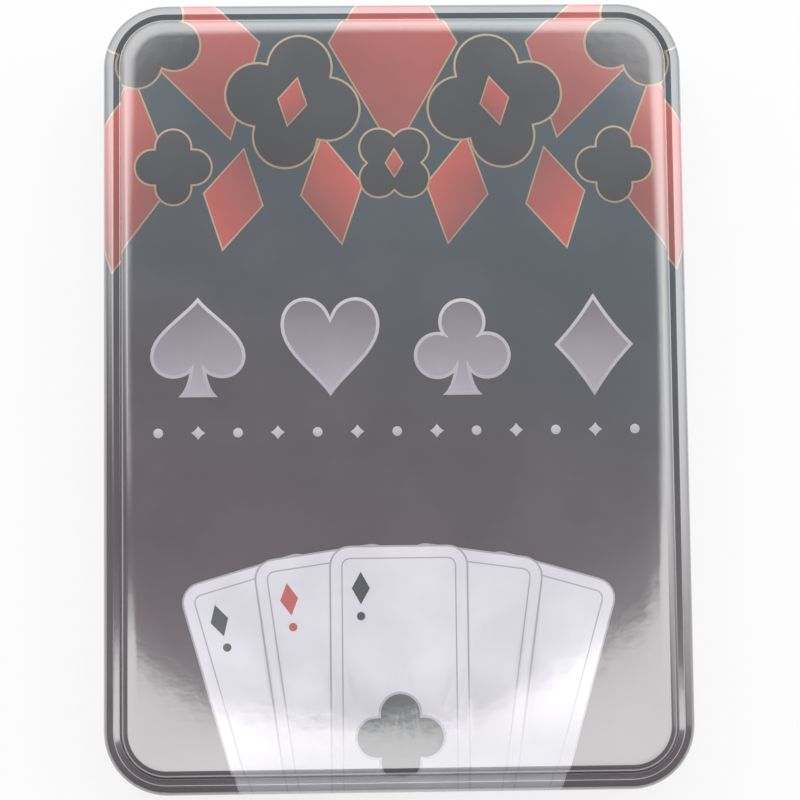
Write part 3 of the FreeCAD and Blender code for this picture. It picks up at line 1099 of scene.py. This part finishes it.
tray_mesh.polygons.foreach_set("use_smooth", [True] * len(tray_mesh.polygons))
tray_mesh.set_sharp_from_angle(angle=sharp_shade_angle)
formed_tray = bpy.data.objects.new("formed_tray", tray_mesh)
bpy.context.scene.collection.objects.link(formed_tray)
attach(formed_tray, "insert_tray")
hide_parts("insert_tray")
print("tray:", len(tray_mesh.polygons), "faces")

# %% [markdown]
# ## What is printed on the cards
# The red deck lies back up, with a lattice of lozenges in a white margin. The blue deck lies face up,
# with number cards on top. Signs and numerals are the traditional ones, drawn as outlines in the card's
# own upright frame and cut into the card just as the artwork was cut into the lid.

# %% Numerals
numeral_pen = 0.55


def stroke(points, width):
    """A thick line through a few points."""
    points = np.array(points, float)
    along_line = np.diff(points, axis=0)
    along_line /= np.linalg.norm(along_line, axis=1)[:, None]
    side = np.column_stack((-along_line[:, 1], along_line[:, 0]))
    before = np.concatenate((side[:1], side))
    after = np.concatenate((side, side[-1:]))
    shift = (before + after) / (1.0 + np.sum(before * after, axis=1))[:, None] * width / 2
    return np.concatenate((points + shift, (points - shift)[::-1]))


def arc_points(centre, radius, start, end, steps=14):
    """Points along an arc between two angles in degrees."""
    angles = np.radians(np.linspace(start, end, steps))
    return [(centre[0] + radius * math.cos(angle), centre[1] + radius * math.sin(angle)) for angle in angles]


def numeral(value):
    """The strokes of a numeral about 4 mm high; True marks ink and False an eye in it."""
    if value == 7:
        return [(True, stroke([(-1.15, 1.8), (1.15, 1.8), (-0.4, -2.0)], numeral_pen))]
    if value == 8:
        return [(True, circle((0.0, 0.95), 1.05, 24)), (True, circle((0.0, -0.85), 1.2, 24)),
                (False, circle((0.0, 0.95), 0.52, 20)), (False, circle((0.0, -0.85), 0.65, 20))]
    if value == 9:
        tail = stroke(arc_points((-0.6, 0.75), 1.6, 0.0, -80.0), numeral_pen)
        return [(True, circle((0.0, 0.8), 1.25, 24)), (True, tail), (False, circle((0.0, 0.8), 0.7, 20))]
    bowl = arc_points((-0.1, -0.75), 1.05, 125.0, -140.0)
    neck_points = [(0.95, 1.75), (-0.75, 1.75), bowl[0]]
    return [(True, stroke(neck_points, numeral_pen)), (True, stroke(bowl, numeral_pen))]


print("a numeral of", len(numeral(8)), "parts for 8")

# %% Number cards
sign_height, small_sign_height = 8.6, 3.8
corner_column, numeral_row, small_sign_row = -24.6, 38.2, 33.0
sign_places = {
    5: [(-12.0, 24.0), (12.0, 24.0), (0.0, 0.0)],
    7: [(-12.0, 24.0), (12.0, 24.0), (-12.0, 0.0), (12.0, 0.0), (0.0, 12.0)],
    8: [(-12.0, 24.0), (12.0, 24.0), (-12.0, 0.0), (12.0, 0.0), (0.0, 12.0)],
    9: [(-12.0, 25.0), (12.0, 25.0), (-12.0, 8.4), (12.0, 8.4), (0.0, 0.0)],
}


def number_card(value, suit):
    """Shapes of a number card: corner numerals, small signs and the field of signs."""
    ink = "card_red" if suit in ("heart", "diamond") else "card_black"
    shapes = []

    def put(own_ink, part, place, turn, scale=1.0):
        """Puts a part at its place on the upright card, or on the card turned round."""
        shapes.append((own_ink, placed(placed(part, place, scale=scale), (0.0, 0.0), turn)))

    for x, y in sign_places[value]:
        for turn in ((0.0,) if y == 0.0 or (value == 7 and x == 0.0) else (0.0, 180.0)):
            for part in suit_shapes[suit]:
                put(ink, part, (x, y), turn, sign_height)
    for turn in (0.0, 180.0):
        for is_ink, part in numeral(value):
            put(ink if is_ink else "card_white", part, (corner_column, numeral_row), turn)
        for part in suit_shapes[suit]:
            put(ink, part, (corner_column, small_sign_row), turn, small_sign_height)
    return shapes


print("number cards:", list(sign_places))

# %% Backs and jokers
card_half = (28.5, 44.0)
back_margin = 4.2
lattice_pitch = (4.2, 3.0)
lattice_half = (22.0, 37.5)
lattice_sizes = ((1.75, 2.5), (1.3, 1.86), (0.55, 0.8))
star_tip, star_notch = 12.0, 5.2


def lattice_back(ink):
    """Shapes of a card back: a panel in one ink, a white line and a lattice of white lozenges."""
    panel = rounded_card(card_half[0] - back_margin, card_half[1] - back_margin, 1.6)
    shapes = [(ink, panel), ("card_white", inset(panel, 0.7)), (ink, inset(panel, 1.1))]
    for row in range(-12, 13):
        for column in range(-5, 6):
            x, y = (column + (0.5 if row % 2 else 0.0)) * lattice_pitch[0], row * lattice_pitch[1]
            if abs(x) < lattice_half[0] and abs(y) < lattice_half[1]:
                for own_ink, size in zip(("card_white", ink, "card_white"), lattice_sizes):
                    shapes.append((own_ink, placed(lozenge(*size, steps=1), (x, y))))
    return shapes


def joker_card():
    """Shapes of a joker: one plain star."""
    sizes = np.array([star_tip, star_notch] * 5)
    angles = math.pi / 2 + np.arange(10) * math.pi / 5
    return [("card_black", np.column_stack((np.cos(angles) * sizes, np.sin(angles) * sizes)))]


print("a back of", len(lattice_back("card_red")), "shapes")

# %% Printed card faces
card_drawings = {
    ("red_deck_top_card", "top"): lattice_back("card_red"),
    ("red_deck_heart_numbers", "top"): lattice_back("card_red"),
    ("red_deck_diamond_numbers", "top"): lattice_back("card_red"),
    ("red_deck_top_card", "bottom"): number_card(7, "heart"),
    ("red_deck_club_numbers", "bottom"): number_card(5, "club"),
    ("red_deck_jokers", "bottom"): joker_card(),
    ("blue_deck_top_card", "top"): number_card(7, "heart"),
    ("blue_deck_heart_numbers", "top"): number_card(8, "heart"),
    ("blue_deck_diamond_numbers", "top"): number_card(9, "diamond"),
    ("blue_deck_top_card", "bottom"): lattice_back("card_blue"),
    ("blue_deck_club_numbers", "bottom"): lattice_back("card_blue"),
    ("blue_deck_jokers", "bottom"): lattice_back("card_blue"),
}
print(len(card_drawings), "printed card faces")

# %% [markdown]
# ## Card stock
# Cards are two papers pasted together, coated and pressed with a fine linen grain. The faces are smooth
# and a little glossy. The cut edge is plain fibre, darker where hands have rubbed it.

# %% Card finishes
linen_grain = (1500.0, 2.0, (1.0, 1.0, 3.0))
for name, deep, pale, strength in (
    ("card_white", (0.80, 0.79, 0.76), (0.86, 0.85, 0.82), 0.15),
    ("card_edge", (0.60, 0.58, 0.54), (0.78, 0.76, 0.72), 0.6),
    ("card_red", (0.50, 0.030, 0.028), (0.60, 0.045, 0.040), 0.15),
    ("card_blue", (0.022, 0.050, 0.26), (0.034, 0.075, 0.34), 0.15),
    ("card_black", (0.016, 0.016, 0.017), (0.028, 0.028, 0.030), 0.15),
):
    mottled_finish(name, (deep, pale), (90.0, 4.0), (0.34, 0.48), linen_grain, strength)
print("card finishes ready")

# %% [markdown]
# ## The cards
# Each card is its own thin block with round corners and slightly soft edges. The frame says where each
# one lies, so the script reads the levels of a packet from its CAD mesh and builds every card anew at
# those levels.

# %% Read the packets
level_slack = 0.003
bodies = frame["record"]["behaviour"]["bodies"]
body_of_node = {node: body for body, nodes in bodies.items() for node in nodes}


def packet_boxes(node):
    """The lowest and highest corner of each card in a packet."""
    points = np.array([corner.co for corner in frame["nodes"][node].data.vertices]) / MM
    levels = np.unique(np.round(points[:, 2], 3))
    boxes = []
    for low, high in zip(levels[::2], levels[1::2]):
        own = points[(points[:, 2] > low - level_slack) & (points[:, 2] < high + level_slack)]
        boxes.append((own.min(axis=0), own.max(axis=0)))
    return boxes


print("packets:", sum("_deck_" in node for node in body_of_node))

# %% Build a packet
card_corner_radius = 3.2
edge_softness = 0.06
edge_leans = ((0.7, -0.7), (0.95, -0.3), (0.95, 0.3), (0.7, 0.7))


def printed_side(outline, shapes):
    """Cuts a drawing into one face of a card, in the card's upright frame."""
    flat, triangles = cut_sheet([outline] + [shape[1] for shape in shapes], np.empty((0, 2)),
                                lambda middles: covered(middles, outline))
    still = np.zeros(2)
    inks, _ = ink_faces(flat, triangles, [(*shape, still, still) for shape in shapes], "card_white")
    return flat, triangles, inks


def card_packet(node):
    """One piece with every card of a packet, each a closed block, and the number of cards."""
    form = Form()
    boxes = packet_boxes(node)
    outline = rounded_card(*card_half, card_corner_radius, 7)
    soft_outline = inset(outline, edge_softness)
    edge = np.roll(outline, 1, axis=0) - np.roll(outline, -1, axis=0)
    out = edge / np.linalg.norm(edge, axis=1)[:, None]
    edge_normals = [np.column_stack((out * lean, np.full(len(out), rise))) for lean, rise in edge_leans]

    def put_points(points, middle, height):
        """Adds points of the upright card where this card lies, and gives their numbers."""
        level = np.full(len(points), height)
        return form.add_points(np.column_stack((middle[0] + points[:, 1], middle[1] - points[:, 0], level)))

    for number, (low, high) in enumerate(boxes):
        middle = (low + high)[:2] / 2
        levels = (low[2], low[2] + edge_softness, high[2] - edge_softness, high[2])
        rings = [put_points(points, middle, height)
                 for points, height in zip((soft_outline, outline, outline, soft_outline), levels)]
        for row in range(3):
            form.add_band(rings[row], rings[row + 1], edge_normals[row], edge_normals[row + 1], "card_edge")
        for side, row, up in (("bottom", 0, -1.0), ("top", 3, 1.0)):
            ends_packet = number == (0 if side == "bottom" else len(boxes) - 1)
            drawing = card_drawings.get((node, side)) if ends_packet else None
            ring = rings[row]
            if drawing is None:
                form.add_level(ring[None], "card_white", up)
                continue
            flip = np.array((up, 1.0))
            own_outline = soft_outline if up > 0 else (soft_outline * flip)[::-1]
            flat, triangles, inks = printed_side(own_outline, drawing)
            place = flat * flip
            numbers = put_points(place, middle, levels[row])
            for spot, point in enumerate(place):
                gap = np.hypot(*(soft_outline - point).T)
                if gap.min() < same_place:
                    numbers[spot] = ring[gap.argmin()]
            form.add_level(numbers[triangles], inks, up)
    return form.make(node + "_cards", finishes), len(boxes)


print("card edges softened by", edge_softness, "mm")

# %% Card packets
card_count = 0
for node, body in body_of_node.items():
    if "_deck_" not in node:
        continue
    packet, cards = card_packet(node)
    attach(packet, body)
    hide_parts(node)
    card_count += cards
print(card_count, "cards in two decks")
